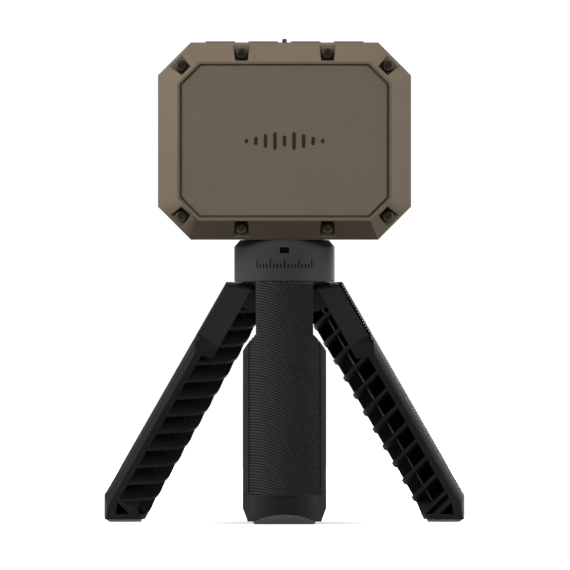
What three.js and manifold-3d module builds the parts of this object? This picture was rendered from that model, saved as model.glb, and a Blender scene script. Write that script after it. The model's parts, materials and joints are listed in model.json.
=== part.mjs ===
// Pocket launch monitor on a three-leg table tripod. Millimetres, +Z up, the face looks along -Y.
import * as THREE from 'three';
import { mergeVertices } from 'three/addons/utils/BufferGeometryUtils.js';
import Module from 'manifold-3d';

const wasm = await Module();
wasm.setup();

// Driving dimensions.
const headWidth = 77;
const headHeight = 60;
const headDepth = 35;
const headFloor = 86.2;
const cornerCut = 10;
const bevelWidth = 5.8;
const bevelDepth = 4.5;
const rearBevelWidth = 4;
const rearBevelDepth = 3;
const wall = 2.4;
const fitGap = 0.02;
const runGap = 0.3;
const legRadius = 15;
const legTilt = THREE.MathUtils.degToRad(33.5);
const hingeRadius = 8;
const hingeHeight = 76.7;

const headMiddle = headFloor + headHeight / 2;
const headTop = headFloor + headHeight;
const faceY = -headDepth / 2;
const rearY = headDepth / 2;
const bezelBack = -8;
const housingFront = -7.6;

const colours = {
  face: ['#675e50', 0.55, 0.1],
  shell: ['#6f675a', 0.5, 0.1],
  black: ['#2b2b2b', 0.6, 0],
  grip: ['#323232', 0.75, 0],
  collar: ['#424242', 0.45, 0.1],
  rubber: ['#3d3d3d', 0.9, 0],
  screw: ['#231c15', 0.4, 0.6],
  steel: ['#9a9a9c', 0.35, 0.9],
  brass: ['#b08d4a', 0.35, 0.9],
  glass: ['#14181a', 0.1, 0],
  board: ['#1f4a34', 0.6, 0],
  cell: ['#8d9096', 0.5, 0.2],
};

const assembly = new THREE.Group();
assembly.name = 'launch_monitor';

// Solids and booleans.
function solid(geometry) {
  const plain = geometry.clone();
  plain.deleteAttribute('normal');
  plain.deleteAttribute('uv');
  const merged = mergeVertices(plain, 1e-4);
  const vertProperties = new Float32Array(merged.attributes.position.array);
  const triVerts = new Uint32Array(merged.index.array);
  return new wasm.Manifold(new wasm.Mesh({ numProp: 3, vertProperties, triVerts }));
}

function join(first, ...others) {
  return others.reduce((sum, other) => sum.add(other), first);
}

function cut(first, ...others) {
  return others.reduce((rest, other) => rest.subtract(other), first);
}

function common(first, ...others) {
  return others.reduce((rest, other) => rest.intersect(other), first);
}

function add(name, shape, colour, matrix = new THREE.Matrix4()) {
  const mesh = shape.getMesh();
  const geometry = new THREE.BufferGeometry();
  geometry.setAttribute('position', new THREE.BufferAttribute(mesh.vertProperties, 3));
  geometry.setIndex(new THREE.BufferAttribute(mesh.triVerts, 1));
  geometry.computeVertexNormals();
  const [color, roughness, metalness] = colours[colour];
  const material = new THREE.MeshStandardMaterial({ color, roughness, metalness, name: colour });
  const part = new THREE.Mesh(geometry, material);
  part.name = name;
  part.applyMatrix4(matrix);
  assembly.add(part);
}

// A box between two corners.
function box(x0, x1, y0, y1, z0, z1) {
  const geometry = new THREE.BoxGeometry(x1 - x0, y1 - y0, z1 - z0);
  geometry.translate((x0 + x1) / 2, (y0 + y1) / 2, (z0 + z1) / 2);
  return solid(geometry);
}

// An upright turned piece from [radius, height] points that start and end on the axis or close up.
function turned(points, segments) {
  const profile = points.map(([radius, height]) => new THREE.Vector2(radius, height));
  const geometry = new THREE.LatheGeometry(profile, segments);
  geometry.rotateX(Math.PI / 2);
  return solid(geometry);
}

function disc(radius, z0, z1, segments) {
  return turned([[0, z0], [radius, z0], [radius, z1], [0, z1]], segments);
}

function ring(inner, outer, z0, z1, segments) {
  return turned([[inner, z0], [outer, z0], [outer, z1], [inner, z1], [inner, z0]], segments);
}

// A round bar along Y.
function barY(radius, y0, y1, x, z, segments) {
  const geometry = new THREE.CylinderGeometry(radius, radius, y1 - y0, segments);
  geometry.translate(x, (y0 + y1) / 2, z);
  return solid(geometry);
}

// An outline in X and Z, extruded from y0 to y1, with an optional bevel inwards at both ends.
function plateY(shape, y0, y1, bevel = null) {
  const options = { depth: y1 - y0, bevelEnabled: false };
  if (bevel) {
    options.depth = y1 - y0 - 2 * bevel.depth;
    options.bevelEnabled = true;
    options.bevelThickness = bevel.depth;
    options.bevelSize = bevel.width;
    options.bevelOffset = -bevel.width;
    options.bevelSegments = 1;
  }
  const geometry = new THREE.ExtrudeGeometry(shape, options);
  geometry.rotateX(Math.PI / 2);
  geometry.translate(0, bevel ? y1 - bevel.depth : y1, 0);
  return solid(geometry);
}

function outline(points) {
  return new THREE.Shape(points.map(([a, b]) => new THREE.Vector2(a, b)));
}

// The head's octagon, moved inwards by inset.
function octagon(inset) {
  const x = headWidth / 2 - inset;
  const z = headHeight / 2 - inset;
  const c = cornerCut - inset * (2 - Math.SQRT2);
  const corners = [
    [x - c, -z], [x, -z + c], [x, z - c], [x - c, z],
    [-x + c, z], [-x, z - c], [-x, -z + c], [-x + c, -z],
  ];
  return outline(corners.map(([a, b]) => [a, b + headMiddle]));
}

// Screw places on the front bevel, as offsets from the middle, with the way each pocket faces.
const screwPlaces = [];
for (const [sideX, sideZ] of [[-1, 1], [1, 1], [-1, -1], [1, -1]]) {
  screwPlaces.push({ x: 13.1 * sideX, z: 26.5 * sideZ, turn: sideZ > 0 ? 0 : Math.PI });
  const turn = Math.atan2(-sideX, sideZ);
  screwPlaces.push({ x: 31.4 * sideX, z: 22.8 * sideZ, turn });
}
const screwHeadRadius = 1.75;
const screwShankRadius = 1;
const pocketFloor = -13.6;

function bars(radius, y0, y1, segments) {
  return screwPlaces.map(({ x, z }) => barY(radius, y0, y1, x, headMiddle + z, segments));
}

// A pocket that narrows inwards, from the outer edge of the bevel to the screw's far side.
function screwPocket({ x, z, turn }) {
  const shape = outline([[-2.85, 5], [-1.95, -2.1], [1.95, -2.1], [2.85, 5]].reverse());
  const geometry = new THREE.ExtrudeGeometry(shape, { depth: 8, bevelEnabled: false });
  geometry.rotateX(Math.PI / 2);
  geometry.translate(0, pocketFloor, 0);
  geometry.rotateY(-turn);
  geometry.translate(x, 0, headMiddle + z);
  return solid(geometry);
}

// Front bezel: bevelled octagon, a seat for the panel, eight screw pockets and the sight's slot.
const panelInset = 7.05;
const seatY = faceY + 2.8;
const sight = { width: 1.45, length: 4, y: -10.6, rise: 1.1, root: 1.5 };
function frontBezel() {
  const blank = plateY(octagon(0), faceY, faceY + 30, { width: bevelWidth, depth: bevelDepth });
  const ringBlank = common(blank, box(-50, 50, faceY - 1, bezelBack, 80, 150));
  const seat = plateY(octagon(panelInset - 0.5), faceY - 1, seatY);
  const window = plateY(octagon(10), faceY - 1, bezelBack + 1);
  const pockets = screwPlaces.map(screwPocket);
  const half = sight.width / 2 + fitGap;
  const slot = box(-half, half, sight.y - sight.length / 2 - fitGap, sight.y + sight.length / 2 + fitGap,
    headTop - sight.root - fitGap, headTop + 1);
  return cut(ringBlank, seat, window, ...pockets, ...bars(1.2, -15, bezelBack + 1, 10), slot);
}
add('front_bezel', frontBezel(), 'face');

// Panel in front of the radar: a raised face with a small edge break on a flange that fills the seat.
const panelFace = plateY(octagon(panelInset), faceY + 0.35, seatY - fitGap, { width: 0.35, depth: 0.35 });
const panelFlange = plateY(octagon(panelInset - 0.5 + fitGap), faceY + 0.85, seatY - fitGap);
add('radome_panel', join(panelFace, panelFlange), 'face');

function sightPost() {
  const half = sight.width / 2;
  const shape = outline([
    [-half, headTop - sight.root], [half, headTop - sight.root], [half, headTop + sight.rise - 0.3],
    [half - 0.3, headTop + sight.rise], [0.3 - half, headTop + sight.rise], [-half, headTop + sight.rise - 0.3],
  ]);
  return plateY(shape, sight.y - sight.length / 2, sight.y + sight.length / 2);
}
add('sight_post', sightPost(), 'black');

// Seal between the two halves of the case.
const sealPlate = cut(plateY(octagon(0.5), bezelBack + fitGap, housingFront - fitGap),
  plateY(octagon(7), bezelBack - 1, housingFront + 1), ...bars(1.25, bezelBack - 1, housingFront + 1, 10));
add('housing_gasket', sealPlate, 'rubber');

// Rear housing.
const buttonPlaces = { power: -19.55, down: -6.45, up: 6.45, mode: 19.55 };
const button = {
  y: 7.5, width: 9.4, length: 10, rise: 0.5, gap: 0.25, flangeWidth: 11.4, flangeLength: 12,
};
const displayView = { halfWidth: 21, halfHeight: 12, paneHalfWidth: 23, paneHalfHeight: 14, seatDepth: 1.3 };
const port = {
  y: 4.5, z: 108, halfWidth: 1.8, halfHeight: 4.7, lidHalfWidth: 3.4, lidLow: 102, lidHigh: 114.3,
};
const insertRadius = 4.5;
const innerRear = rearY - wall;

function rearHousing() {
  const blank = plateY(octagon(0), rearY - 40, rearY, { width: rearBevelWidth, depth: rearBevelDepth });
  const shell = common(blank, box(-50, 50, housingFront, rearY + 1, 80, 150));
  const hollow = plateY(octagon(wall), housingFront - 1, innerRear);
  const posts = bars(2.6, housingFront, 0.5, 12);
  const insertPost = disc(6.2, headFloor + 1, 96, 24);
  const body = join(cut(shell, hollow), ...posts, insertPost);
  const viewHole = box(-displayView.halfWidth, displayView.halfWidth, innerRear - 1, rearY + 1,
    headMiddle - displayView.halfHeight, headMiddle + displayView.halfHeight);
  const viewSeat = box(-displayView.paneHalfWidth - 0.1, displayView.paneHalfWidth + 0.1,
    rearY - displayView.seatDepth, rearY + 1, headMiddle - displayView.paneHalfHeight - 0.1,
    headMiddle + displayView.paneHalfHeight + 0.1);
  const buttonHoles = Object.values(buttonPlaces).map((x) => box(
    x - button.width / 2 - button.gap, x + button.width / 2 + button.gap,
    button.y - button.length / 2 - button.gap, button.y + button.length / 2 + button.gap,
    headTop - wall - 1, headTop + 1));
  const portHole = box(headWidth / 2 - wall - 1, headWidth / 2 + 1, port.y - port.halfWidth,
    port.y + port.halfWidth, port.z - port.halfHeight, port.z + port.halfHeight);
  const lidSeat = box(headWidth / 2 - 1, headWidth / 2 + 1, port.y - port.lidHalfWidth - runGap,
    port.y + port.lidHalfWidth + runGap, port.lidLow - 0.7, port.lidHigh + runGap);
  const insertHole = disc(insertRadius + fitGap, headFloor - 1, 95.2, 24);
  return cut(body, ...bars(screwShankRadius + 0.08, housingFront - 1, -0.5, 12), viewHole, viewSeat,
    ...buttonHoles, portHole, lidSeat, insertHole);
}
add('rear_housing', rearHousing(), 'shell');

// Case screws with a socket in the head, turned upright and then laid along Y.
function caseScrew({ x, z }) {
  const head = 1.4;
  const socket = 0.8;
  const upright = turned([[0, -12], [screwShankRadius, -12], [screwShankRadius, 0], [screwHeadRadius, 0],
    [screwHeadRadius, head - 0.3], [screwHeadRadius - 0.3, head], [0.95, head], [0.95, head - socket],
    [0, head - socket]], 12);
  return upright.rotate([90, 0, 0]).translate([x, pocketFloor - fitGap, headMiddle + z]);
}
screwPlaces.forEach((place, index) => add(`case_screw_${index + 1}`, caseScrew(place), 'screw'));

// Top buttons: cap, retaining flange and stem.
const wallUnder = headTop - wall;
function buttonCap(x) {
  const cap = new THREE.Shape();
  const halfX = button.width / 2;
  const halfY = button.length / 2;
  const corner = 1.2;
  cap.moveTo(corner - halfX, -halfY);
  cap.lineTo(halfX - corner, -halfY);
  cap.absarc(halfX - corner, corner - halfY, corner, -Math.PI / 2, 0);
  cap.absarc(halfX - corner, halfY - corner, corner, 0, Math.PI / 2);
  cap.absarc(corner - halfX, halfY - corner, corner, Math.PI / 2, Math.PI);
  cap.absarc(corner - halfX, corner - halfY, corner, Math.PI, 1.5 * Math.PI);
  const geometry = new THREE.ExtrudeGeometry(cap, {
    depth: 3.6, curveSegments: 3, bevelEnabled: true,
    bevelThickness: 0.35, bevelSize: 0.35, bevelOffset: -0.35, bevelSegments: 1,
  });
  geometry.translate(x, button.y, headTop + button.rise - 0.35 - 3.6);
  const above = common(solid(geometry), box(x - 10, x + 10, -5, 20, wallUnder - 0.6, headTop + 5));
  const flange = box(x - button.flangeWidth / 2, x + button.flangeWidth / 2, button.y - button.flangeLength / 2,
    button.y + button.flangeLength / 2, wallUnder - 1.1, wallUnder - runGap);
  const stem = disc(1.2, wallUnder - 2.6, wallUnder - 0.6, 10).translate([x, button.y, 0]);
  return join(above, flange, stem);
}
for (const [name, x] of Object.entries(buttonPlaces)) {
  add(`button_${name}`, buttonCap(x), 'shell');
}

// Switch board under the buttons.
const switchTop = wallUnder - 2.6 - 0.7;
const switchDomes = Object.values(buttonPlaces)
  .map((x) => disc(1.5, switchTop - 1.2, switchTop, 10).translate([x, button.y, 0]));
const keypad = join(box(-26.5, 26.5, 2, 13, switchTop - 1.9, switchTop - 0.9), ...switchDomes);
add('keypad_board', keypad, 'board');

// Inner chassis: a plate with a shelf for the switch board and four standoffs for the main board.
const chassisFront = -2.6;
const chassisBack = -1.1;
const mainBoardFront = 1.6;
const shelfTop = switchTop - 1.9 - fitGap;
const standoffs = [[-22, 101], [22, 101], [-22, 133], [22, 133]]
  .map(([x, z]) => barY(1.6, chassisBack - 0.5, mainBoardFront - fitGap, x, z, 8));
const chassisPlate = plateY(outline([
  [-22, 97], [22, 97], [29, 104], [29, 130], [26.5, shelfTop], [-26.5, shelfTop], [-29, 130], [-29, 104],
]), chassisFront, chassisBack);
const shelf = box(-26.5, 26.5, chassisFront, 13, shelfTop - 1.1, shelfTop);
add('inner_chassis', join(chassisPlate, shelf, ...standoffs), 'black');

add('battery', plateY(outline([
  [-22.5, 101], [-21, 99.5], [21, 99.5], [22.5, 101], [22.5, 130], [21, 131.5], [-21, 131.5], [-22.5, 130],
]), chassisFront - 6.2, chassisFront - fitGap), 'cell');

// Boards, shield, sounder and socket.
const boardRear = mainBoardFront + 1.2;
add('main_board', box(-30, 30, mainBoardFront, boardRear, 98.5, 134.5), 'board');
add('radar_board', plateY(octagon(10.5), -12.6, -11.6), 'board');
add('radar_shield', box(-16, 16, -11.6 + fitGap, -9.6, headMiddle - 11, headMiddle + 11), 'steel');
add('sounder', barY(5, boardRear + fitGap, boardRear + 3, -20, 106, 16), 'black');
const socketBody = box(29.4, 37.3, boardRear + fitGap, boardRear + 3.3, port.z - 4.5, port.z + 4.5);
const socketMouth = box(31, 38, boardRear + 0.4, boardRear + 2.9, port.z - 4.1, port.z + 4.1);
add('charge_socket', cut(socketBody, socketMouth), 'steel');

// Charging port lid, rounded about its hinge line at the lower edge.
const lidBarrel = 0.4;
function portLid() {
  const outer = headWidth / 2 - 0.02;
  const shape = new THREE.Shape();
  shape.moveTo(outer, port.lidLow);
  shape.lineTo(outer, port.lidHigh - 0.3);
  shape.lineTo(outer - 0.3, port.lidHigh);
  shape.lineTo(outer - 2 * lidBarrel, port.lidHigh);
  shape.lineTo(outer - 2 * lidBarrel, port.lidLow);
  shape.absarc(outer - lidBarrel, port.lidLow, lidBarrel, Math.PI, 2 * Math.PI);
  const geometry = new THREE.ExtrudeGeometry(shape, {
    depth: 2 * port.lidHalfWidth, bevelEnabled: false, curveSegments: 8,
  });
  geometry.rotateX(Math.PI / 2);
  geometry.translate(0, port.y + port.lidHalfWidth, 0);
  return solid(geometry);
}
add('port_lid', portLid(), 'rubber');

// Display behind its window.
const pane = { width: 0.25, depth: 0.25 };
const paneShape = outline([
  [-displayView.paneHalfWidth, headMiddle - displayView.paneHalfHeight],
  [displayView.paneHalfWidth, headMiddle - displayView.paneHalfHeight],
  [displayView.paneHalfWidth, headMiddle + displayView.paneHalfHeight],
  [-displayView.paneHalfWidth, headMiddle + displayView.paneHalfHeight],
]);
add('display_window', plateY(paneShape, rearY - displayView.seatDepth + fitGap, rearY - 0.05, pane), 'glass');
const display = box(-22.5, 22.5, innerRear - 2.5, innerRear - 0.3, headMiddle - 13.5, headMiddle + 13.5);
add('display_module', display, 'black');

// Threaded insert in the head's underside, and the turning platform with its stud.
const studRadius = 3.1;
add('tripod_insert', ring(studRadius + 0.1, insertRadius, headFloor + 0.05, 95, 24), 'brass');
const platformBase = 83.9;
const platformTop = 85.3;
const shaftRadius = 3;
add('pan_platform', turned([
  [0, 74.6], [shaftRadius, 74.6], [shaftRadius, platformBase], [12.4, platformBase], [12.4, platformTop],
  [studRadius, platformTop], [studRadius, 91], [studRadius - 0.6, 91.6], [0, 91.6],
], 24), 'steel');
add('platform_pad', ring(studRadius + 0.3, 12.3, platformTop + fitGap, headFloor - fitGap, 24), 'rubber');
const nutBlank = new THREE.CylinderGeometry(4.1, 4.1, 2, 6);
nutBlank.rotateX(Math.PI / 2);
nutBlank.translate(0, 0, 75.3);
add('pan_nut', cut(solid(nutBlank), disc(shaftRadius + 0.03, 70, 80, 24)), 'steel');

// Clamp collar with a chamfered top and a slot through its wall in front.
const collarTop = headFloor - 0.1;
const collarFloor = 73.35;
const collarRadius = 15.3;
function clampCollar() {
  const sleeve = turned([
    [13.7, collarFloor], [collarRadius - 0.3, collarFloor], [collarRadius, collarFloor + 0.3],
    [collarRadius, collarTop - 2.1], [13.5, collarTop], [12.9, collarTop], [12.9, 78.5], [13.7, 78.5],
    [13.7, collarFloor],
  ], 48);
  const slot = box(-1.4, 1.4, -collarRadius - 1, -12, 82.05, 83.85);
  return cut(sleeve, slot);
}
add('clamp_collar', clampCollar(), 'collar');

// Hub with three forked slots and their pin holes.
const hingeAzimuths = { front: -90, right: 30, left: 150 };
const pinRadius = 1.25;
const tabHalf = 4;
const tabRound = 2.6;
const slotHalf = tabHalf + 0.2;
const hubFloor = 73.35;

function aboutAxis(azimuth) {
  return new THREE.Matrix4().makeRotationZ(THREE.MathUtils.degToRad(azimuth));
}

function turnSolid(shape, azimuth) {
  return shape.rotate([0, 0, azimuth]);
}

function hub() {
  const blank = turned([
    [0, hubFloor], [13.4, hubFloor], [13.4, 78.2], [12.6, 78.2], [12.6, 83.6], [0, 83.6],
  ], 36);
  const bore = disc(shaftRadius + 0.1, 70, 90, 24);
  const recess = disc(4.6, 70, 76.6, 24);
  const cuts = Object.values(hingeAzimuths).flatMap((azimuth) => {
    const slot = box(hingeRadius - tabRound - runGap, 20, -slotHalf, slotHalf, 70,
      hingeHeight + tabRound + 0.4);
    const hole = barY(pinRadius + fitGap, -6.6 - fitGap, 14, hingeRadius, hingeHeight, 16);
    return [turnSolid(slot, azimuth), turnSolid(hole, azimuth)];
  });
  return cut(blank, bore, recess, ...cuts);
}
add('hub', hub(), 'black');

// Legs, each modelled closed along +X and then swung open about its pin.
const matingGap = 0.2;
const legTopEdge = 8.72;
const legEnd = 90.7;
const facetHeight = 8.5;
const facetReach = 61.15;
const facetLong = 18;
const facetAcross = 16.8;
const bandRadius = 12.4;
const waist = 8.75;
const fullHalf = 12.65;
const shoulder = { top: 25.6, end: 28.6 };
const apexRound = 6;
const upperHalf = 7;
const sideLean = 0.186;
const sideLeanFrom = 12.2;
const ribPitch = 6.27;
const ribFirst = 9.37;
const ribHalf = 0.55;
const ribSlope = 0.455;
const webInner = 6;
const padHalf = 9.4;
const padStand = 0.8;

// Distance along the closed leg, downwards from the pin, as a height.
function legHeight(s) {
  return hingeHeight - s;
}

// The third-of-a-circle section between radii, narrowed by gap, upright from z0 to z1. From the middle
// it starts in an arc that touches both mating planes.
function sector(inner, outer, gap, z0, z1, steps = 12) {
  const shape = new THREE.Shape();
  const limit = (radius) => Math.PI / 3 - Math.asin(gap / radius);
  if (inner === 0) {
    const centre = (apexRound + gap) / Math.sin(Math.PI / 3);
    shape.absarc(centre, 0, apexRound, 5 * Math.PI / 6, 7 * Math.PI / 6);
    shape.lineTo(outer * Math.cos(limit(outer)), -outer * Math.sin(limit(outer)));
  } else {
    shape.absarc(0, 0, inner, limit(inner), -limit(inner), true);
  }
  shape.absarc(0, 0, outer, -limit(outer), limit(outer));
  const geometry = new THREE.ExtrudeGeometry(shape, {
    depth: z1 - z0, bevelEnabled: false, curveSegments: steps,
  });
  geometry.translate(0, 0, z0);
  return solid(geometry);
}

// An outline in width and distance down the leg, extruded through the leg's depth.
function sideOutline(points, x0, x1) {
  const shape = outline(points.map(([w, s]) => [w, legHeight(s)]));
  const geometry = new THREE.ExtrudeGeometry(shape, { depth: x1 - x0, bevelEnabled: false });
  geometry.rotateX(Math.PI / 2);
  geometry.rotateZ(Math.PI / 2);
  geometry.translate(x0, 0, 0);
  return solid(geometry);
}

// The leg's outline seen square on: waist, shoulders and clipped foot.
function legOutline(end) {
  return bothSides([
    [waist, 0], [waist, shoulder.top], [fullHalf, shoulder.end], [fullHalf, end - 4.2], [11.6, end],
  ]);
}

function bothSides(right) {
  return [...right, ...right.map(([w, s]) => [-w, s]).reverse()];
}

// What leans off each side of the waist: the side panels come closer together towards the middle.
function sideWedges() {
  const run = (shoulder.end - shoulder.top) / (fullHalf - waist);
  const far = 22;
  const shape = [[waist, -5], [waist, shoulder.top], [far, shoulder.top + (far - waist) * run], [far, -5]];
  const wedge = sideOutline([...shape].reverse(), -1, 20)
    .transform([1, sideLean, 0, 0, 0, 1, 0, 0, 0, 0, 1, 0, 0, -sideLean * sideLeanFrom, 0, 1]);
  return [wedge, wedge.mirror([0, 1, 0])];
}

// Turns a closed-leg solid to the open rest pose about the pin.
function opened(shape) {
  const degrees = -THREE.MathUtils.radToDeg(legTilt);
  return shape.translate([-hingeRadius, 0, -hingeHeight]).rotate([0, degrees, 0])
    .translate([hingeRadius, 0, hingeHeight]);
}

// Everything outside the upright face at the foot.
function footFacet(inset) {
  const tube = new THREE.CylinderGeometry(facetLong - inset, facetLong - inset, 30, 60);
  tube.rotateX(Math.PI / 2);
  tube.scale(1, (facetAcross - inset) / (facetLong - inset), 1);
  tube.translate(facetReach - facetLong, 0, 0);
  return cut(box(40, 80, -20, 20, -9, facetHeight + 2 * inset), solid(tube));
}

// Ribs cross the leg at a slant: each drops towards one side as it crosses.
function rib(s) {
  const plate = sector(0, bandRadius + 0.4, matingGap, -ribHalf, ribHalf, 5);
  return plate.transform([1, 0, 0, 0, 0, 1, -ribSlope, 0, 0, 0, 1, 0, 0, 0, legHeight(s), 1]);
}

// The hollow behind the ribs, in the open pose: narrow at the waist, wide below, a plate left at the foot.
function legHollow() {
  const upper = common(disc(bandRadius, legHeight(shoulder.end + 2), legHeight(11), 36),
    box(-1, 20, -upperHalf, upperHalf, 0, 80));
  const lower = disc(bandRadius, legHeight(legEnd - 2.5), legHeight(shoulder.end + 1.2), 36);
  return cut(opened(join(upper, lower)), footFacet(3), box(0, 80, -20, 20, -20, 2.4));
}

// The tab that swings in the hub's fork.
function hingeTab() {
  const shape = new THREE.Shape();
  shape.moveTo(hingeRadius - tabRound, legHeight(0));
  shape.lineTo(hingeRadius - tabRound, legHeight(9));
  shape.lineTo(hingeRadius + 1.8, legHeight(9));
  shape.lineTo(hingeRadius + 1.8, legHeight(1.5));
  shape.absarc(hingeRadius, hingeHeight, tabRound, -Math.asin(1.5 / tabRound), Math.PI);
  const geometry = new THREE.ExtrudeGeometry(shape, {
    depth: 2 * tabHalf, bevelEnabled: false, curveSegments: 8,
  });
  geometry.rotateX(Math.PI / 2);
  geometry.translate(0, tabHalf, 0);
  return solid(geometry);
}

// The closed leg's outer form, before it is hollowed.
function legEnvelope() {
  const blank = sector(0, legRadius, matingGap, legHeight(legEnd), legHeight(4.2));
  const clip = sideOutline(legOutline(legEnd), -1, 20);
  const coneTop = turned([[0, legHeight(legEnd + 5)], [20, legHeight(legEnd + 5)],
    [20, legHeight(legTopEdge) - 5 * Math.tan(legTilt)],
    [0, legHeight(legTopEdge) + legRadius * Math.tan(legTilt)]], 36);
  return cut(common(blank, clip, coneTop), ...sideWedges());
}
const envelope = legEnvelope();

function legBody() {
  const web = box(webInner, bandRadius + 0.5, -0.6, 0.6, legHeight(legEnd - 1), legHeight(10));
  const brace = plateY(outline([
    [2, legHeight(87.1)], [2, legHeight(86.1)], [8, legHeight(81.4)], [8, legHeight(82.4)],
  ].reverse()), -20, 20);
  const ribs = [];
  for (let i = 0; i < 12; i += 1) {
    ribs.push(rib(ribFirst + i * ribPitch));
  }
  ribs.push(common(rib(ribFirst + 12 * ribPitch), box(0, 20, -20, 0.6, legHeight(legEnd), 20)));
  const core = disc(bandRadius + 0.4, legHeight(legEnd), legHeight(10), 36);
  const inside = common(envelope, core, join(web, brace, ...ribs));
  const whole = join(cut(opened(envelope), legHollow()), opened(join(inside, hingeTab())));
  const bored = cut(whole, opened(barY(pinRadius + 0.07, -10, 10, hingeRadius, hingeHeight, 16)));
  return cut(bored, footFacet(0), box(30, 80, -20, 20, -20, padStand));
}

// Textured grip let into the outer face: as wide as the waist, then inside smooth margins.
function gripBlank(inner, outer, gap, floor) {
  const band = sector(inner, outer, matingGap, legHeight(legEnd), legHeight(0), 14);
  const side = fullHalf - gripMargin - gap;
  const strip = sideOutline(bothSides([
    [waist + 0.8 - gap, 0], [waist + 0.8 - gap, shoulder.top - 0.6],
    [side, shoulder.end + 0.3], [side, legEnd + 6],
  ]), -1, 20);
  return common(opened(common(band, strip)), box(-10, 80, -20, 20, floor, 90));
}

// Rubber foot let into the end face and the floor face.
function padBlank(grow, floor, ceiling, skin) {
  const block = common(sector(0, legRadius, matingGap + 0.6 - grow, legHeight(legEnd + grow), legHeight(80)),
    box(0, 20, -padHalf - grow, padHalf + grow, legHeight(legEnd + 5), 20));
  const trimmed = cut(opened(block), footFacet(0.3 - grow), box(30, 80, -20, 20, -20, floor));
  const core = opened(box(-30, 30, -20, 20, legHeight(legEnd - skin), legHeight(60)));
  return cut(trimmed, common(core, box(30, 90, -20, 20, ceiling, 90)));
}

const gripMargin = 1.7;
const bodyShape = cut(legBody(), gripBlank(13.9, 16, 0, facetHeight + 0.5),
  padBlank(0.03, -1, 1.33, 1.23));
const gripShape = common(gripBlank(13.93, legRadius, 0.05, facetHeight + 0.55), opened(envelope));
const padShape = padBlank(0, 0, 1.3, 1.2);
const pinShape = barY(pinRadius, -6.6, 6.6, hingeRadius, hingeHeight, 16);
for (const [name, azimuth] of Object.entries(hingeAzimuths)) {
  const place = aboutAxis(azimuth);
  add(`leg_${name}`, bodyShape, 'black', place);
  add(`grip_${name}`, gripShape, 'grip', place);
  add(`foot_pad_${name}`, padShape, 'rubber', place);
  add(`hinge_pin_${name}`, pinShape, 'steel', place);
}

// The origin sits on the floor under the middle of the outer box.
assembly.updateMatrixWorld(true);
const bounds = new THREE.Box3().setFromObject(assembly, true);
const middle = bounds.getCenter(new THREE.Vector3());
for (const part of assembly.children) {
  part.position.y -= middle.y;
}

export default assembly;
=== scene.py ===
# Small launch monitor on a folding table tripod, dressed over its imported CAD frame.
import json
from math import cos, pi, radians, sin, tan

import bmesh
import bpy
import numpy as np
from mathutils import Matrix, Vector


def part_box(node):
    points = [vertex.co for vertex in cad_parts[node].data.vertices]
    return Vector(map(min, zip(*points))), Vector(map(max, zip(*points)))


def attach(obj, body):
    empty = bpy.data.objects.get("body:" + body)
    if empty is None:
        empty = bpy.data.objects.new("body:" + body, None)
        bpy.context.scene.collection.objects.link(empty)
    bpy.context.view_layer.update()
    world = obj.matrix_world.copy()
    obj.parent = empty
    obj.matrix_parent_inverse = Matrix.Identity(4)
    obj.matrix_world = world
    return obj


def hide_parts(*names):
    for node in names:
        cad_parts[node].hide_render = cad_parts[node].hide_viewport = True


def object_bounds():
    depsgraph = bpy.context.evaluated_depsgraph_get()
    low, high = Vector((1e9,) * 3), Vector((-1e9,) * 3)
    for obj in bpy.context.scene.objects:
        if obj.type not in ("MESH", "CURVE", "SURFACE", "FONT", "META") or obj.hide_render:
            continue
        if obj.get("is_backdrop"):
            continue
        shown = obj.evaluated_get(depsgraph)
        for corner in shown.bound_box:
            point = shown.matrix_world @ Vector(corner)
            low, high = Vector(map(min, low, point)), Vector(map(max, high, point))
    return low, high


mm = 0.001
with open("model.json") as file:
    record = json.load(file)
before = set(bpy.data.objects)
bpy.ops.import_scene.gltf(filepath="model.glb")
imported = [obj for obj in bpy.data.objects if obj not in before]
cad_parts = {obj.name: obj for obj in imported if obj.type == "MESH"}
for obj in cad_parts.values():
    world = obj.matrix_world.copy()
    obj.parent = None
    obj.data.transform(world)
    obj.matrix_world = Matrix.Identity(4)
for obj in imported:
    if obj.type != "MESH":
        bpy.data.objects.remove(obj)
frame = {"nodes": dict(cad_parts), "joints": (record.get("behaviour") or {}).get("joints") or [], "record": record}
nodes = frame["nodes"]
joints = {joint["name"]: joint for joint in frame["joints"]}
bodyOf = {node: body for body, members in frame["record"]["behaviour"]["bodies"].items() for node in members}
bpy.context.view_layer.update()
sides = ("front", "right", "left")
print("frame loaded:", len(nodes), "nodes")


def span(node):
    low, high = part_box(node)
    return np.array(low), np.array(high)


headLow, headHigh = span("front_bezel")
middleX = (headLow[0] + headHigh[0]) / 2
middleZ = (headLow[2] + headHigh[2]) / 2


# A socket that can be used in arithmetic.
class Value:
    def __init__(self, sheet, socket):
        self.sheet = sheet
        self.socket = socket

    def math(self, operation, first, second, clamp=False):
        settings = {"operation": operation, "use_clamp": clamp}
        return self.sheet.node("ShaderNodeMath", settings, {0: first, 1: second})[0]

    def __add__(self, other):
        return self.math("ADD", self, other)

    def __radd__(self, other):
        return self.math("ADD", other, self)

    def __sub__(self, other):
        return self.math("SUBTRACT", self, other)

    def __rsub__(self, other):
        return self.math("SUBTRACT", other, self)

    def __mul__(self, other):
        return self.math("MULTIPLY", self, other)

    def __rmul__(self, other):
        return self.math("MULTIPLY", other, self)

    def __truediv__(self, other):
        return self.math("DIVIDE", self, other)

    def __rtruediv__(self, other):
        return self.math("DIVIDE", other, self)

    def clamped(self):
        return self.math("ADD", self, 0.0, clamp=True)


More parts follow.
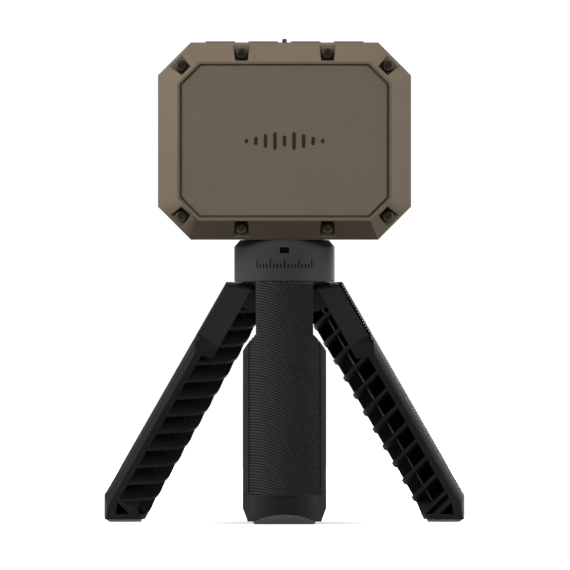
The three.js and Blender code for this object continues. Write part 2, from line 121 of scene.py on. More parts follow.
# One material's node tree: any node comes from node(), and feed() drives the surface shader.
class Sheet:
    def __init__(self, name, colour, roughness, fixed=None):
        self.material = bpy.data.materials.new(name)
        self.material.use_nodes = True
        self.tree = self.material.node_tree
        self.shader = self.tree.nodes["Principled BSDF"]
        self.shader.inputs["Base Color"].default_value = (*colour, 1.0)
        self.shader.inputs["Roughness"].default_value = roughness
        for key, value in (fixed or {}).items():
            self.shader.inputs[key].default_value = value
        self.place = self.node("ShaderNodeTexCoord")[3]

    def node(self, kind, settings=None, sockets=None):
        made = self.tree.nodes.new(kind)
        for key, value in (settings or {}).items():
            setattr(made, key, value)
        for key, value in (sockets or {}).items():
            if isinstance(value, Value):
                self.tree.links.new(value.socket, made.inputs[key])
            else:
                made.inputs[key].default_value = value
        return [Value(self, socket) for socket in made.outputs]

    def feed(self, name, value):
        self.tree.links.new(value.socket, self.shader.inputs[name])

    def noise(self, size, detail=2.0, vector=None):
        sockets = {"Vector": vector or self.place, "Scale": 1 / size, "Detail": detail, "Roughness": 0.55}
        return self.node("ShaderNodeTexNoise", {}, sockets)[0]

    def stretched(self, x, y, z):
        sockets = {0: self.place, 1: (x, y, z)}
        return self.node("ShaderNodeVectorMath", {"operation": "MULTIPLY"}, sockets)[0]

    # Distance from origin along axis.
    def along(self, origin, axis):
        ends = {0: self.place, 1: tuple(origin)}
        offset = self.node("ShaderNodeVectorMath", {"operation": "SUBTRACT"}, ends)[0]
        return self.node("ShaderNodeVectorMath", {"operation": "DOT_PRODUCT"}, {0: offset, 1: tuple(axis)})[1]

    def mix(self, factor, first, second):
        settings = {"data_type": "RGBA"}
        colours = [c if isinstance(c, Value) else (*c, 1.0) for c in (first, second)]
        return self.node("ShaderNodeMix", settings, {0: factor, 6: colours[0], 7: colours[1]})[2]

    def bump(self, height, distance):
        sockets = {"Height": height, "Distance": distance, "Strength": 1.0}
        self.feed("Normal", self.node("ShaderNodeBump", {}, sockets)[0])


# Even speckle of a moulded or sprayed skin: colour drifts slowly and the gloss breaks up finely.
def grainy(name, look):
    sheet = Sheet(name, look["colour"], look["roughness"], look.get("fixed"))
    drift = sheet.noise(look["driftSize"], 3.0)
    speck = sheet.noise(look["grainSize"], 2.0)
    darker = tuple(c * (1 - look["drift"]) for c in look["colour"])
    lighter = tuple(min(1.0, c * (1 + look["drift"])) for c in look["colour"])
    tone = (drift * 0.7 + speck * 0.3 - 0.5) * 2.2 + 0.5
    sheet.feed("Base Color", sheet.mix(tone.clamped(), darker, lighter))
    sheet.feed("Roughness", (speck - 0.5) * look["roughnessSpread"] + look["roughness"])
    sheet.bump(speck, look["grainDepth"])
    return sheet.material


looks = {
    "case": {"colour": (0.152, 0.121, 0.088), "roughness": 0.5, "roughnessSpread": 0.16, "drift": 0.04,
             "driftSize": 12 * mm, "grainSize": 0.35 * mm, "grainDepth": 0.02 * mm,
             "fixed": {"Specular IOR Level": 0.06}},
    "panel": {"colour": (0.142, 0.115, 0.084), "roughness": 0.5, "roughnessSpread": 0.14, "drift": 0.035,
              "driftSize": 20 * mm, "grainSize": 0.3 * mm, "grainDepth": 0.02 * mm,
              "fixed": {"Specular IOR Level": 0.12}},
    "leg": {"colour": (0.0105, 0.0105, 0.0105), "roughness": 0.55, "roughnessSpread": 0.16, "drift": 0.15,
            "driftSize": 6 * mm, "grainSize": 0.25 * mm, "grainDepth": 0.03 * mm,
            "fixed": {"Specular IOR Level": 0.08}},
    "collar": {"colour": (0.038, 0.038, 0.038), "roughness": 0.6, "roughnessSpread": 0.2, "drift": 0.08,
               "driftSize": 4 * mm, "grainSize": 0.25 * mm, "grainDepth": 0.015 * mm,
               "fixed": {"Specular IOR Level": 0.06}},
    "rubber": {"colour": (0.15, 0.15, 0.15), "roughness": 0.65, "roughnessSpread": 0.1, "drift": 0.12,
               "driftSize": 3 * mm, "grainSize": 0.3 * mm, "grainDepth": 0.04 * mm,
               "fixed": {"Specular IOR Level": 0.9}},
    "seal": {"colour": (0.012, 0.010, 0.008), "roughness": 0.8, "roughnessSpread": 0.1, "drift": 0.1,
             "driftSize": 4 * mm, "grainSize": 0.3 * mm, "grainDepth": 0.02 * mm},
    "screw": {"colour": (0.022, 0.016, 0.010), "roughness": 0.42, "roughnessSpread": 0.2, "drift": 0.1,
              "driftSize": 1 * mm, "grainSize": 0.15 * mm, "grainDepth": 0.01 * mm,
              "fixed": {"Metallic": 0.4, "Specular IOR Level": 0.3}},
    "black": {"colour": (0.01, 0.01, 0.01), "roughness": 0.5, "roughnessSpread": 0.15, "drift": 0.1,
              "driftSize": 4 * mm, "grainSize": 0.3 * mm, "grainDepth": 0.02 * mm},
    "cell": {"colour": (0.24, 0.26, 0.29), "roughness": 0.4, "roughnessSpread": 0.1, "drift": 0.05,
             "driftSize": 10 * mm, "grainSize": 0.5 * mm, "grainDepth": 0.01 * mm},
    "ink": {"colour": (0.36, 0.34, 0.30), "roughness": 0.6, "roughnessSpread": 0.1, "drift": 0.05,
            "driftSize": 2 * mm, "grainSize": 0.3 * mm, "grainDepth": 0.005 * mm},
    "segment": {"colour": (0.006, 0.007, 0.006), "roughness": 0.4, "roughnessSpread": 0.06, "drift": 0.05,
                "driftSize": 2 * mm, "grainSize": 0.3 * mm, "grainDepth": 0.002 * mm,
                "fixed": {"Specular IOR Level": 0.1}},
    "markAndShade": {"colour": (0.003, 0.003, 0.003), "roughness": 0.8, "roughnessSpread": 0.1, "drift": 0.1,
             "driftSize": 2 * mm, "grainSize": 0.3 * mm, "grainDepth": 0.005 * mm,
             "fixed": {"Specular IOR Level": 0.02}},
    "print": {"colour": (0.026, 0.018, 0.011), "roughness": 0.65, "roughnessSpread": 0.1, "drift": 0.05,
              "driftSize": 2 * mm, "grainSize": 0.3 * mm, "grainDepth": 0.01 * mm,
              "fixed": {"Specular IOR Level": 0.08}},
    "button": {"colour": (0.072, 0.064, 0.049), "roughness": 0.6, "roughnessSpread": 0.14, "drift": 0.05,
               "driftSize": 3 * mm, "grainSize": 0.3 * mm, "grainDepth": 0.02 * mm,
               "fixed": {"Specular IOR Level": 0.1}},
}
materials = {name: grainy(name + "Finish", look) for name, look in looks.items()}


turning = {"lineSize": 0.4 * mm, "lineStretch": (0.08, 0.08, 1.0), "cloudSize": 4 * mm, "depth": 0.02 * mm}


# Turned metal: fine rings round the pan axis break the highlight.
def turnedMetal(name, colour, roughness):
    sheet = Sheet(name, colour, roughness, {"Metallic": 1.0})
    lines = sheet.noise(turning["lineSize"], 3.0, sheet.stretched(*turning["lineStretch"]))
    cloud = sheet.noise(turning["cloudSize"], 2.0)
    sheet.feed("Roughness", (lines - 0.5) * 0.3 + (cloud - 0.5) * 0.2 + roughness)
    sheet.feed("Base Color", sheet.mix(cloud, tuple(0.85 * c for c in colour), colour))
    sheet.bump(lines, turning["depth"])
    return sheet.material


materials["steel"] = turnedMetal("steelFinish", (0.55, 0.55, 0.56), 0.32)
materials["brass"] = turnedMetal("brassFinish", (0.62, 0.43, 0.17), 0.3)


# Circuit board: solder mask over copper runs, read off a brick pattern.
def boardFinish():
    sheet = Sheet("boardFinish", (0.01, 0.075, 0.035), 0.35)
    sockets = {"Vector": sheet.stretched(1, 0, 1), "Scale": 420.0, "Mortar Size": 0.04, "Color1": (1, 1, 1, 1),
               "Color2": (1, 1, 1, 1), "Mortar": (0, 0, 0, 1), "Brick Width": 0.9, "Row Height": 0.3}
    runs = sheet.node("ShaderNodeTexBrick", {"offset": 0.37}, sockets)[1]
    sheet.feed("Base Color", sheet.mix(runs, (0.008, 0.06, 0.03), (0.03, 0.15, 0.07)))
    sheet.feed("Roughness", runs * 0.1 + 0.35)
    sheet.bump(runs, 0.03 * mm)
    return sheet.material


materials["board"] = boardFinish()


windowShape = {"margin": 2.4 * mm, "blur": 0.05 * mm, "smearSize": 8 * mm, "dustSize": 0.6 * mm}


# Display window: a black mask round the edge and the grey-green display inside it. The display shows
# where both distances from the middle are under the half sizes less the margin.
def windowFinish():
    w = windowShape
    sheet = Sheet("windowFinish", (0.006, 0.008, 0.009), 0.07, {"IOR": 1.5, "Specular IOR Level": 0.2})
    low, high = span("display_window")
    middle = (low + high) / 2
    halfSeen = (high - low) / 2 - w["margin"]
    shown = 1.0
    for half, direction in ((halfSeen[0], (1.0, 0.0, 0.0)), (halfSeen[2], (0.0, 0.0, 1.0))):
        offset = sheet.along(middle, direction)
        offset = sheet.node("ShaderNodeMath", {"operation": "ABSOLUTE"}, {0: offset})[0]
        shown = shown * ((half - offset) / w["blur"]).clamped()
    smear = sheet.noise(w["smearSize"], 3.0)
    dust = sheet.noise(w["dustSize"], 2.0)
    sheet.feed("Roughness", (smear - 0.5) * 0.08 + (dust - 0.5) * 0.04 + 0.08)
    display = sheet.mix(smear, (0.115, 0.130, 0.105), (0.130, 0.147, 0.118))
    sheet.feed("Base Color", sheet.mix(shown, (0.006, 0.007, 0.008), display))
    return sheet.material


materials["glass"] = windowFinish()
print("materials made:", len(materials))


# A new smooth mesh object from an array of points and a list of faces.
def makeMesh(name, points, faces, material):
    mesh = bpy.data.meshes.new(name)
    mesh.from_pydata(points.reshape(-1, 3).tolist(), [], faces)
    mesh.polygons.foreach_set("use_smooth", np.ones(len(mesh.polygons), dtype=bool))
    mesh.materials.append(material)
    mesh.update()
    piece = bpy.data.objects.new(name, mesh)
    bpy.context.scene.collection.objects.link(piece)
    return piece


# Quads of a tube whose rows are closed loops, and the two caps that close its ends.
def tubeFaces(rows, columns):
    row, column = np.meshgrid(np.arange(rows - 1), np.arange(columns), indexing="ij")
    after = (column + 1) % columns
    corners = (row * columns + column, row * columns + after, (row + 1) * columns + after,
               (row + 1) * columns + column)
    quads = np.stack(corners, axis=-1).reshape(-1, 4).tolist()
    first = list(range(columns))[::-1]
    last = [(rows - 1) * columns + i for i in range(columns)]
    return quads + [first, last]


def outward(piece):
    mesh = bmesh.new()
    mesh.from_mesh(piece.data)
    bmesh.ops.recalc_face_normals(mesh, faces=mesh.faces)
    mesh.to_mesh(piece.data)
    mesh.free()


def sharpen(piece, angle):
    piece.data.set_sharp_from_angle(angle=radians(angle))


def settle(piece, node):
    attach(piece, bodyOf[node])


easeShape = {"weld": 0.002 * mm, "flatAngle": 0.6, "edgeAngle": 28, "segments": 2, "sharpAngle": 32}


# A copy of a CAD node with its flat facets joined up and its edges eased by a small round.
def eased(node, material, width):
    e = easeShape
    mesh = bpy.data.meshes.new(node + "_eased")
    work = bmesh.new()
    work.from_mesh(nodes[node].data)
    bmesh.ops.remove_doubles(work, verts=work.verts, dist=e["weld"])
    bmesh.ops.dissolve_limit(work, angle_limit=radians(e["flatAngle"]), verts=work.verts, edges=work.edges)
    work.to_mesh(mesh)
    work.free()
    mesh.materials.clear()
    mesh.materials.append(material)
    mesh.polygons.foreach_set("material_index", np.zeros(len(mesh.polygons), dtype=np.int32))
    mesh.polygons.foreach_set("use_smooth", np.ones(len(mesh.polygons), dtype=bool))
    piece = bpy.data.objects.new(node + "_eased", mesh)
    bpy.context.scene.collection.objects.link(piece)
    ease = piece.modifiers.new("ease", "BEVEL")
    ease.width = width
    ease.segments = e["segments"]
    ease.limit_method = "ANGLE"
    ease.angle_limit = radians(e["edgeAngle"])
    sharpen(piece, e["sharpAngle"])
    level = piece.modifiers.new("level", "WEIGHTED_NORMAL")
    level.keep_sharp = True
    level.weight = 100
    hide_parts(node)
    settle(piece, node)
    return piece


easing = {
    "front_bezel": ("case", 0.28 * mm), "rear_housing": ("case", 0.3 * mm),
    "radome_panel": ("panel", 0.12 * mm), "sight_post": ("black", 0.12 * mm),
    "clamp_collar": ("collar", 0.15 * mm), "port_lid": ("seal", 0.15 * mm), "hub": ("black", 0.15 * mm),
    "display_window": ("glass", 0.08 * mm),
}
for node, (finish, width) in easing.items():
    eased(node, materials[finish], width)
for key in ("power", "down", "up", "mode"):
    eased(f"button_{key}", materials["button"], 0.2 * mm)
for side in sides:
    eased(f"leg_{side}", materials["leg"], 0.14 * mm)
    eased(f"foot_pad_{side}", materials["rubber"], 0.2 * mm)
print("eased copies made")

kept = {
    "housing_gasket": "seal", "keypad_board": "board", "inner_chassis": "black", "battery": "cell",
    "main_board": "board", "radar_board": "board", "radar_shield": "steel", "sounder": "black",
    "charge_socket": "steel", "display_module": "black", "tripod_insert": "brass", "pan_platform": "steel",
    "platform_pad": "rubber", "pan_nut": "steel", "hinge_pin_front": "steel", "hinge_pin_right": "steel",
    "hinge_pin_left": "steel",
}
for node, finish in kept.items():
    nodes[node].data.materials.clear()
    nodes[node].data.materials.append(materials[finish])


# Where a leg stands: its pin, the way across it, the way out from the pan axis and how far it is swung.
class LegFrame:
    def __init__(self, side):
        joint = joints[f"leg_{side}_fold"]
        self.pin = np.array(joint["pos_m"])
        self.across = np.array(joint["axis"])
        self.up = np.array([0.0, 0.0, 1.0])
        self.out = np.cross(self.across, self.up)
        self.tilt = radians(joint["range_deg"][1])
        self.reach = legShape["pinRadius"]

    # A point of the closed handle, by its offset out from the pan axis, its offset across the leg and
    # its drop below the pin, swung out about the pin.
    def placed(self, out, across, drop):
        lever = out - self.reach
        outSwung = lever * cos(self.tilt) + drop * sin(self.tilt)
        upSwung = lever * sin(self.tilt) - drop * cos(self.tilt)
        parts = (outSwung[..., None] * self.out, across[..., None] * self.across, upSwung[..., None] * self.up)
        return self.pin + sum(parts)


legShape = {"pinRadius": 8 * mm}
# Grip shape, with the tones of the painted valley shade and painted crest highlight on its rubber.
gripShape = {"top": 73.33 * mm, "floor": 9.1 * mm, "waist": 8.72 * mm, "full": 12.62 * mm,
             "shoulder": 25.6 * mm, "shoulderRun": 3 * mm, "bandWaist": 9.47 * mm, "bandFull": 10.88 * mm,
             "bandTurn": 25 * mm, "bandRun": 3.9 * mm, "pitch": 1.0 * mm, "slope": 0.57,
             "height": 0.5 * mm, "fade": 0.6 * mm, "sharpness": 1.4, "crown": 14.93 * mm,
             "underside": 13.97 * mm, "underShare": 0.977, "rows": 640, "columns": 72,
             "paintedValleyShade": (0.0006, 0.0006, 0.0006), "paintedCrestHighlight": (0.026, 0.026, 0.026)}


# Grip rubber with painted light: a painted highlight on the ridges and painted shade between them, in step with
# the skin's own ridges.
def gripRubberPaintedLight(side):
    g = gripShape
    leg = LegFrame(side)
    down = leg.out * sin(leg.tilt) - leg.up * cos(leg.tilt)
    sheet = Sheet(f"gripRubberPaintedLight_{side}", (0.012, 0.012, 0.012), 0.6, {"Specular IOR Level": 0.12})
    lag = sheet.along(leg.pin, down) - sheet.along(leg.pin, leg.across) * g["slope"]
    wave = sheet.node("ShaderNodeMath", {"operation": "COSINE"}, {0: lag * (2 * pi / g["pitch"])})[0]
    ridge = wave * 0.5 + 0.5
    speck = sheet.noise(0.3 * mm, 2.0)
    # Painted light: a painted highlight on each ridge crest and painted shade in the valleys between.
    tone = (ridge * 1.3 + speck * 0.2 - 0.35).clamped()
    sheet.feed("Base Color", sheet.mix(tone, g["paintedValleyShade"], g["paintedCrestHighlight"]))
    sheet.feed("Roughness", (speck - 0.5) * 0.2 + 0.6)
    sheet.bump(speck, 0.01 * mm)
    return sheet.material


# Grip skin. The outer face is a round of radius crown - height * (1 - ridge) * fade. The ridge is a
# raised cosine of drop - slope * across, and the fade falls to nothing at both ends. The underside is a
# plain round. Both ends are level where the leg stands open, at
# drop = (pin height - height) / cos(tilt) + lever * tan(tilt).
def gripSkin(side):
    g = gripShape
    leg = LegFrame(side)
    acrossUnit = np.linspace(-1, 1, g["columns"])[None, :]
    down = np.linspace(0, 1, g["rows"])[:, None]

    def levelDrop(height, half):
        lever = np.sqrt(g["crown"] ** 2 - (acrossUnit * half) ** 2) - leg.reach
        return (leg.pin[2] - height) / cos(leg.tilt) + lever * tan(leg.tilt)

    start = levelDrop(g["top"], g["waist"])
    end = levelDrop(g["floor"], g["bandFull"])
    drop = start + down * (end - start)
    shoulder = np.clip((drop - g["shoulder"]) / g["shoulderRun"], 0, 1)
    outline = g["waist"] + shoulder * (g["full"] - g["waist"])
    turnIn = np.clip((drop - g["bandTurn"]) / g["bandRun"], 0, 1)
    band = g["bandWaist"] + turnIn * (g["bandFull"] - g["bandWaist"])
    across = acrossUnit * np.minimum(outline, band)
    phase = 2 * pi * (drop - g["slope"] * across) / g["pitch"]
    ridge = (0.5 + 0.5 * np.cos(phase)) ** g["sharpness"]
    fade = np.clip(np.minimum(drop - start, end - drop) / g["fade"], 0, 1)
    radius = g["crown"] - g["height"] * (1 - ridge) * fade
    top = leg.placed(np.sqrt(radius ** 2 - across ** 2), across, drop)
    acrossUnder = g["underShare"] * across
    under = leg.placed(np.sqrt(g["underside"] ** 2 - acrossUnder ** 2), acrossUnder, drop)
    loops = np.concatenate([top, under[:, ::-4]], axis=1)
    piece = makeMesh(f"grip_skin_{side}", loops, tubeFaces(*loops.shape[:2]), gripRubberPaintedLight(side))
    outward(piece)
    sharpen(piece, 60)
    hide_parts(f"grip_{side}")
    settle(piece, f"grip_{side}")


for side in sides:
    gripSkin(side)
print("grip skins made")

screwShape = {"points": 48, "driveRadius": 0.86 * mm, "driveWave": 0.13 * mm, "driveDepth": 0.75 * mm,
              "crown": 0.16 * mm, "shankShare": 1 / 1.75, "headDepth": 1.4 * mm, "lobes": 6, "lobedRows": 4,
              "driveFloorShare": 0.3}


# Screw with a six-lobed drive: a profile of (radius, depth) turned about the screw's axis. The first
# rows add a drive radius that swells and shrinks six times a turn.
def caseScrew(index):
    node = f"case_screw_{index}"
    low, high = span(node)
    s = screwShape
    centre = np.array([(low[0] + high[0]) / 2, low[1], (low[2] + high[2]) / 2])
    head = (high[0] - low[0]) / 2
    shank = head * s["shankShare"]
    turn = np.linspace(0, 2 * pi, s["points"], endpoint=False)[None, :]
    lobes = s["driveRadius"] + s["driveWave"] * np.cos(s["lobes"] * turn)
    profile = [(0.15 * mm, s["driveDepth"]), (0, s["driveDepth"]), (0, s["crown"] + 0.1 * mm),
               (0.06 * mm, s["crown"] - 0.02 * mm), (head - 0.85 * mm, 0.02 * mm),
               (head - 0.35 * mm, 0.07 * mm), (head - 0.1 * mm, 0.22 * mm), (head, 0.42 * mm),
               (head, s["headDepth"]), (shank, s["headDepth"]), (shank, high[1] - low[1])]
    rows = []
    for i, (radius, depth) in enumerate(profile):
        base = lobes + radius if i < s["lobedRows"] else np.full_like(turn, radius)
        base = lobes * s["driveFloorShare"] if i == 0 else base
        rows.append(np.stack([base * np.cos(turn), np.full_like(turn, depth), base * np.sin(turn)], axis=-1))
    points = centre + np.concatenate(rows, axis=0)
    piece = makeMesh(f"screw_{index}", points, tubeFaces(*points.shape[:2]), materials["screw"])
    outward(piece)
    sharpen(piece, 35)
    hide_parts(node)
    settle(piece, node)


for index in range(1, 9):
    caseScrew(index)
print("screws made")

printShape = {"sink": 0.02 * mm, "stand": 0.03 * mm, "points": 24, "slabSteps": 9}


# Flat outlines as (right, up) points: an upright bar with round ends, a plain slab whose long edges are
# stepped so that it can bend, part of a ring from one angle to another, and a triangle with its point up.
def stadium(width, height):
    turn = np.linspace(0, 2 * pi, printShape["points"], endpoint=False)
    lift = np.where(np.sin(turn) >= 0, 1, -1) * (height - width) / 2
    return np.stack([np.cos(turn) * width / 2, np.sin(turn) * width / 2 + lift], axis=-1)


def slab(width, height):
    along = np.linspace(-width / 2, width / 2, printShape["slabSteps"])
    lower = np.stack([along, np.full_like(along, -height / 2)], axis=-1)
    return np.concatenate([lower, -lower])


def ringPart(radius, width, start, end):
    turn = np.radians(np.linspace(start, end, printShape["points"]))
    spoke = np.stack([np.cos(turn), np.sin(turn)], axis=-1)
    return np.concatenate([(radius + width / 2) * spoke, (radius - width / 2) * spoke[::-1]])


def triangle(size):
    turn = np.radians([90, 210, 330])
    return size * np.stack([np.cos(turn), np.sin(turn)], axis=-1)


# Raised prints: each outline becomes a thin prism, point = centre + u * right + v * up + lift * out. With
# a bend radius it wraps round an upright barrel: the centre is on its axis and u / bend is the angle.
def printed(name, outlines, finish, node, centre, right, out, bend=0.0):
    centre, right, out = (np.array(part, dtype=float) for part in (centre, right, out))
    up = np.cross(out, right)
    loops = []
    faces = []
    start = 0
    for outline in outlines:
        u, v = outline[:, :1], outline[:, 1:]
        for lift in (-printShape["sink"], printShape["stand"]):
            if bend:
                flat = (bend + lift) * (np.sin(u / bend) * right + np.cos(u / bend) * out)
            else:
                flat = u * right + lift * out
            loops.append(centre + flat + v * up)
        faces += [[start + corner for corner in f] for f in tubeFaces(2, len(outline))]
        start += 2 * len(outline)
    piece = makeMesh(name, np.concatenate(loops), faces, materials[finish])
    outward(piece)
    sharpen(piece, 35)
    settle(piece, node)


signShape = {"heights": (1.4, 2.6, 4.2, 5.4, 3.4, 5.4, 4.2, 2.6, 1.4), "pitch": 2.9 * mm, "width": 1.1 * mm}


# A plain signal sign on the front panel: upright bars with round ends.
def signalSign():
    s = signShape
    middle = (len(s["heights"]) - 1) / 2
    bars = [stadium(s["width"], height * mm) + [(i - middle) * s["pitch"], 0]
            for i, height in enumerate(s["heights"])]
    face = span("radome_panel")[0][1]
    printed("signal_sign", bars, "print", "radome_panel", (middleX, face, middleZ), (1, 0, 0), (0, -1, 0))


signalSign()

markShape = {"count": 17, "pitch": 1.1 * mm, "width": 0.34 * mm, "tall": 2.7 * mm, "short": 1.3 * mm,
             "every": 4, "height": 78.9 * mm, "slot": (2.86 * mm, 1.86 * mm), "slotHeight": 82.95 * mm,
             "slotDepth": 0.5 * mm}


# Collar marks: a plain row of index ticks, every fourth one tall, and a dark sheet inside the slot as painted
# shade in its recess.
def collarMarks():
    m = markShape
    low, high = span("clamp_collar")
    radius = (high[0] - low[0]) / 2
    axis = joints["collar_twist"]["pos_m"]
    ticks = []
    for i in range(m["count"]):
        height = m["short"] if i % m["every"] else m["tall"]
        place = [(i - (m["count"] - 1) / 2) * m["pitch"], (height - m["tall"]) / 2]
        ticks.append(slab(m["width"], height) + place)
    middle = (axis[0], axis[1], m["height"])
    printed("collar_marks", ticks, "markAndShade", "clamp_collar", middle, (1, 0, 0), (0, -1, 0), radius)
    # A dark sheet set inside the slot: painted shade for the recess, in the same near-black as the ticks.
    middle = (axis[0], axis[1], m["slotHeight"])
    recess = radius - m["slotDepth"]
    printed("slot_painted_shade", [slab(*m["slot"])], "markAndShade", "clamp_collar", middle, (1, 0, 0), (0, -1, 0), recess)


collarMarks()

iconShape = {"stroke": 0.42 * mm, "ring": 1.5 * mm, "stem": 1.9 * mm, "arrow": 1.75 * mm, "line": 3.0 * mm,
             "lineGap": 1.15 * mm, "plugRadius": 0.95 * mm, "plugSide": 3.2 * mm, "plugStroke": 0.28 * mm}


# Plain icons: power, down, up and a list on the four buttons, read from the display side, and an open
# socket outline on the port lid.
def icons():
    k = iconShape
    outlines = {
        "power": [ringPart(k["ring"], k["stroke"], 125, 415),
                  stadium(k["stroke"], k["stem"]) + [0, k["ring"] - 0.2 * k["stem"]]],
        "down": [-triangle(k["arrow"])],
        "up": [triangle(k["arrow"])],
        "mode": [stadium(k["stroke"], k["line"])[:, ::-1] + [0, step * k["lineGap"]] for step in (-1, 0, 1)],
    }
    for key, icon in outlines.items():
        low, high = span(f"button_{key}")
        centre = ((low[0] + high[0]) / 2, (low[1] + high[1]) / 2, high[2])
        printed(f"icon_{key}", icon, "ink", f"button_{key}", centre, (-1, 0, 0), (0, 0, 1))
    low, high = span("port_lid")
    half = k["plugSide"] / 2
    socket = [ringPart(k["plugRadius"], k["plugStroke"], 0, 180) + [0, half],
              ringPart(k["plugRadius"], k["plugStroke"], 180, 360) - [0, half],
              slab(k["plugStroke"], k["plugSide"]) + [k["plugRadius"], 0],
              slab(k["plugStroke"], k["plugSide"]) - [k["plugRadius"], 0]]
    centre = (high[0], (low[1] + high[1]) / 2, (low[2] + high[2]) / 2)
    printed("icon_port", socket, "ink", "port_lid", centre, (0, 1, 0), (1, 0, 0))


icons()

readoutShape = {"digits": 3, "width": 4.4 * mm, "height": 9.6 * mm, "stroke": 0.95 * mm, "gap": 0.16 * mm,
                "pitch": 7.2 * mm, "start": -1.75, "drop": 0.6 * mm, "squeeze": 1.15}
meterShape = {"bars": 6, "pitch": 1.5 * mm, "width": 0.9 * mm, "first": 1.2 * mm, "step": 0.9 * mm,
              "left": 9.2 * mm, "foot": -5.4 * mm}
chargeShape = {"middle": (14.6 * mm, 6.6 * mm), "width": 4.2 * mm, "height": 2.3 * mm, "stroke": 0.3 * mm,
               "knob": (0.5 * mm, 0.9 * mm), "fill": (2.2 * mm, 1.1 * mm), "fillShift": -0.4 * mm}


# One seven-segment nought: six bars, two level and four upright.
def nought():
    r = readoutShape
    side = (r["width"] - r["stroke"]) / 2
    end = (r["height"] - r["stroke"]) / 2
    level = stadium(r["stroke"], r["width"] - r["stroke"] - 2 * r["gap"])[:, ::-1]
    upright = stadium(r["stroke"], r["height"] / 2 - r["stroke"] - r["gap"])
    rise = (r["height"] / 4 + r["gap"] / 2) / r["squeeze"]
    return [level + [0, end], upright + [side, rise], upright + [side, -rise],
            level - [0, end], upright + [-side, -rise], upright + [-side, rise]]


# Charge sign: an outline of four slabs with a knob on its end and a fill inside.
def chargeSign():
    c = chargeShape
    across = (c["width"] - c["stroke"]) / 2
    level = (c["height"] - c["stroke"]) / 2
    knob = slab(*c["knob"]) + [(c["width"] + c["knob"][0] + c["stroke"]) / 2, 0]
    parts = [slab(c["width"], c["stroke"]) + [0, level], slab(c["width"], c["stroke"]) - [0, level],
             slab(c["stroke"], c["height"] - 2 * c["stroke"]) - [across, 0],
             slab(c["stroke"], c["height"] - 2 * c["stroke"]) + [across, 0],
             knob, slab(*c["fill"]) + [c["fillShift"], 0]]
    return [part + list(c["middle"]) for part in parts]


# Display readout: three noughts with a point before the last, a rising meter and the charge sign.
def readout():
    r = readoutShape
    m = meterShape
    marks = []
    for i in range(r["digits"]):
        marks += [bar + [(i + r["start"]) * r["pitch"], -r["drop"]] for bar in nought()]
    point = [(r["digits"] - 1.5 + r["start"]) * r["pitch"], (r["stroke"] - r["height"]) / 2 - r["drop"]]
    marks.append(stadium(r["stroke"], 1.01 * r["stroke"]) + point)
    for i in range(m["bars"]):
        height = m["first"] + i * m["step"]
        marks.append(slab(m["width"], height) + [m["left"] + i * m["pitch"], m["foot"] + height / 2])
    low, high = span("display_window")
    centre = ((low[0] + high[0]) / 2, high[1], (low[2] + high[2]) / 2)
    printed("readout", marks + chargeSign(), "segment", "display_window", centre, (-1, 0, 0), (0, 1, 0))


readout()
print("prints made")

studio = {"distance": 8.0, "frameWidth": 173.45 * mm, "lookHeight": 0.4915, "shift": 0.15 * mm,
          "sensor": 36, "aim": (0, 0, 0.1)}
lights = {
    "leftBox": {"place": (-2.0, -0.55, 0.75), "size": (1.0, 1.4), "power": 58},
    "rightBox": {"place": (2.0, -0.55, 0.7), "size": (1.0, 1.4), "power": 50},
    "topBox": {"place": (0, -0.7, 1.7), "size": (1.6, 1.0), "power": 4.5},
    "frontBox": {"place": (-0.18, -0.29, 0.34), "size": (0.2, 0.18), "power": 0.4},
    "backBox": {"place": (0.7, 2.2, 0.35), "size": (1.4, 0.9), "power": 34},
}
# Floor size and glow, and the reach and squash of the painted contact shadow round the feet.
paperAndPaintedShadow = {"reach": 6.0, "gap": 0.02 * mm, "strength": 0.85, "inner": 0.02, "fade": 0.11,
             "squash": (2.0, 1.0, 0.0)}


def addLight(name, light):
    data = bpy.data.lights.new(name, "AREA")
    data.shape = "RECTANGLE"
    data.size, data.size_y = light["size"]
    data.energy = light["power"]
    lamp = bpy.data.objects.new(name, data)
    lamp.location = light["place"]
    facing = Vector(studio["aim"]) - Vector(light["place"])
    lamp.rotation_euler = facing.to_track_quat("-Z", "Y").to_euler()
    lamp.visible_camera = False
    bpy.context.scene.collection.objects.link(lamp)


def addCamera():
    low, high = (np.array(c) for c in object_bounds())
    data = bpy.data.cameras.new("camera")
    data.sensor_width = studio["sensor"]
    data.lens = studio["sensor"] * studio["distance"] / studio["frameWidth"]
    data.clip_end = 100
    camera = bpy.data.objects.new("camera", data)
    height = low[2] + (high[2] - low[2]) * studio["lookHeight"]
    camera.location = ((low[0] + high[0]) / 2 + studio["shift"], -studio["distance"], height)
    camera.rotation_euler = (pi / 2, 0, 0)
    bpy.context.scene.collection.objects.link(camera)
    bpy.context.scene.camera = camera
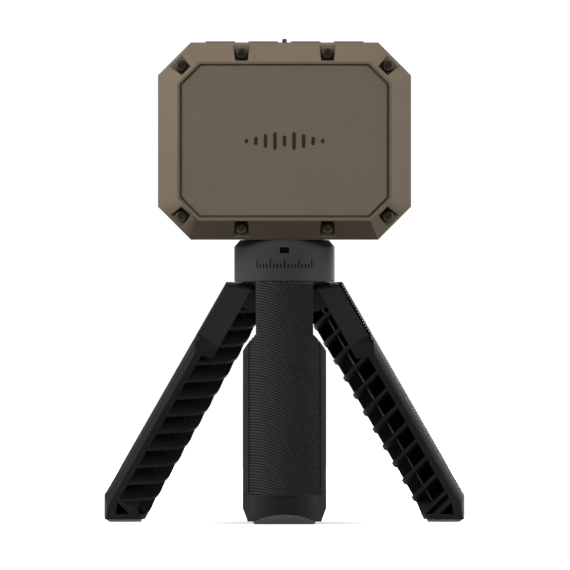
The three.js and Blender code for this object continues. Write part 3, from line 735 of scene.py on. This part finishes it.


# Pale floor, with a painted contact shadow, soft and grey, close round the feet: the painted shadow's mask runs
# from 0 inside it to 1 outside over the fade.
def addFloor():
    low = np.array(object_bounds()[0])
    f = paperAndPaintedShadow
    sheet = Sheet("paper", (0.95, 0.95, 0.95), 0.9)
    spot = sheet.stretched(*f["squash"])
    reachOut = sheet.node("ShaderNodeVectorMath", {"operation": "LENGTH"}, {0: spot})[1]
    outOfPaintedShadow = ((reachOut - f["inner"]) / f["fade"]).clamped()
    # Painted shadow: base colour and glow both drop to grey inside the mask round the feet.
    sheet.feed("Base Color", sheet.mix(outOfPaintedShadow, (0.25, 0.25, 0.25), (0.95, 0.95, 0.95)))
    sheet.feed("Emission Color", sheet.mix(outOfPaintedShadow, (0.3, 0.3, 0.3), (1, 1, 1)))
    sheet.shader.inputs["Emission Strength"].default_value = f["strength"]
    mesh = bpy.data.meshes.new("floor")
    level = low[2] - f["gap"]
    turns = ((-1, -1), (1, -1), (1, 1), (-1, 1))
    mesh.from_pydata([(x * f["reach"], y * f["reach"], level) for x, y in turns], [], [[0, 1, 2, 3]])
    mesh.materials.append(sheet.material)
    floor = bpy.data.objects.new("floor", mesh)
    floor.visible_diffuse = False
    bpy.context.scene.collection.objects.link(floor)
    floor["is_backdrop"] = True


addCamera()
for name, light in lights.items():
    addLight(name, light)
addFloor()

roomTone = {"seen": 1.05, "lowAt": 0.44, "low": 0.03, "highAt": 0.72, "high": 0.3}


# World: white where the camera looks past the object, and a soft grey room, dark below, for its light.
def room():
    world = bpy.data.worlds.new("room")
    world.use_nodes = True
    bpy.context.scene.world = world
    tree = world.node_tree
    tree.nodes.clear()
    out = tree.nodes.new("ShaderNodeOutputWorld")
    mixer = tree.nodes.new("ShaderNodeMixShader")
    path = tree.nodes.new("ShaderNodeLightPath")
    seen = tree.nodes.new("ShaderNodeBackground")
    seen.inputs["Strength"].default_value = roomTone["seen"]
    seen.inputs["Color"].default_value = (1, 1, 1, 1)
    glow = tree.nodes.new("ShaderNodeBackground")
    place = tree.nodes.new("ShaderNodeTexCoord")
    split = tree.nodes.new("ShaderNodeSeparateXYZ")
    ramp = tree.nodes.new("ShaderNodeValToRGB")
    scale = tree.nodes.new("ShaderNodeMapRange")
    scale.inputs["From Min"].default_value = -1
    for stop, key in zip(ramp.color_ramp.elements, ("low", "high")):
        stop.position = roomTone[key + "At"]
        stop.color = (roomTone[key], roomTone[key], roomTone[key], 1)
    tree.links.new(place.outputs["Generated"], split.inputs[0])
    tree.links.new(split.outputs[2], scale.inputs["Value"])
    tree.links.new(scale.outputs[0], ramp.inputs[0])
    tree.links.new(ramp.outputs[0], glow.inputs["Color"])
    tree.links.new(path.outputs["Is Camera Ray"], mixer.inputs[0])
    tree.links.new(glow.outputs[0], mixer.inputs[1])
    tree.links.new(seen.outputs[0], mixer.inputs[2])
    tree.links.new(mixer.outputs[0], out.inputs[0])


room()
bpy.context.scene.view_settings.view_transform = "Standard"
print("studio set")
